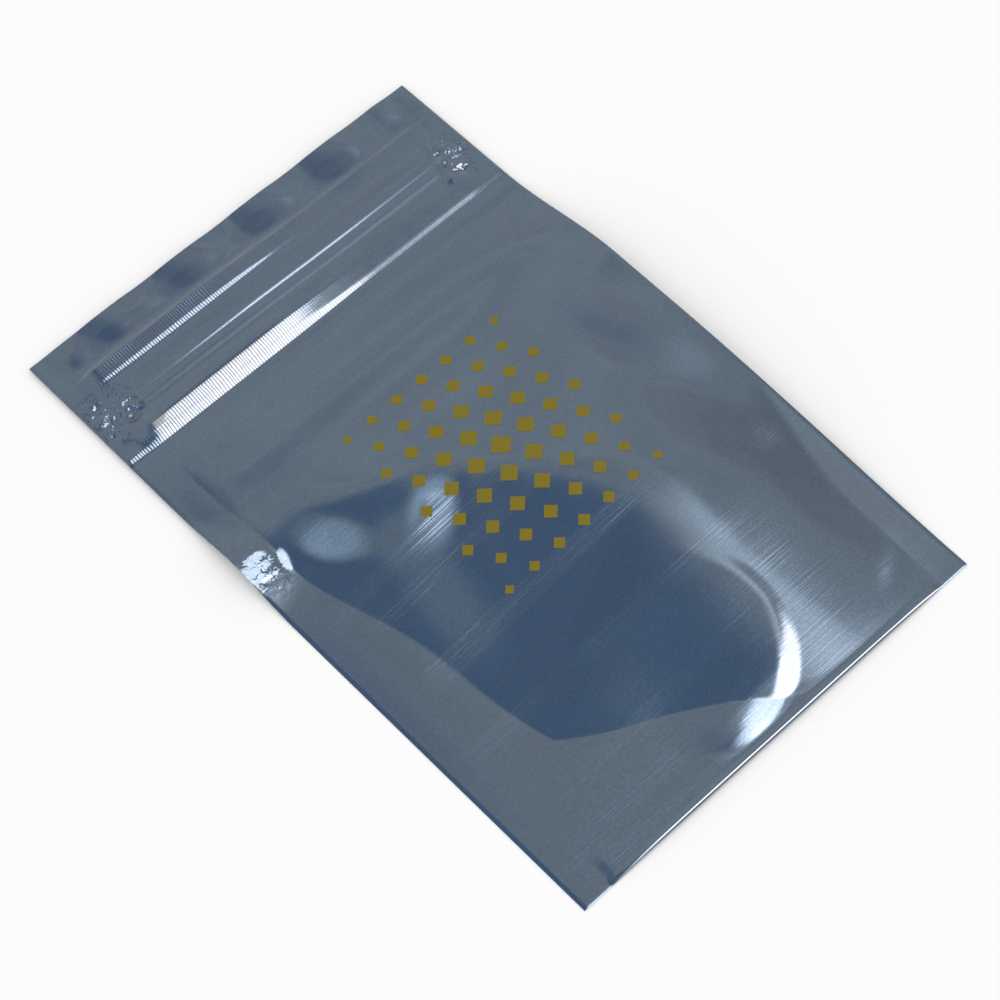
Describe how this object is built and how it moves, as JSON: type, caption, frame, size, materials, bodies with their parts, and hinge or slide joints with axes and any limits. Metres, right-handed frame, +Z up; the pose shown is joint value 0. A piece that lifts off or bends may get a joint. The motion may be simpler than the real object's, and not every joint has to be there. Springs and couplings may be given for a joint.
{
  "type": "anti static shielding bag",
  "caption": "Flat press-to-close shielding bag of metallised film with welded sides, a folded bottom, a zip band and a plain printed panel, lying slightly puffed.",
  "frame": {"origin": "centre of the bag's outline, on the surface that it lies on", "axes": "+X across the bag with the printed face up, +Y from the folded bottom towards the zip and the mouth, +Z up out of the printed face"},
  "size_m": [0.08, 0.127, 0.0055],
  "materials": {
    "metallised_film": "glossy"
  },
  "bodies": {
    "root": {"film_bag": "metallised_film"}
  },
  "joints": []
}
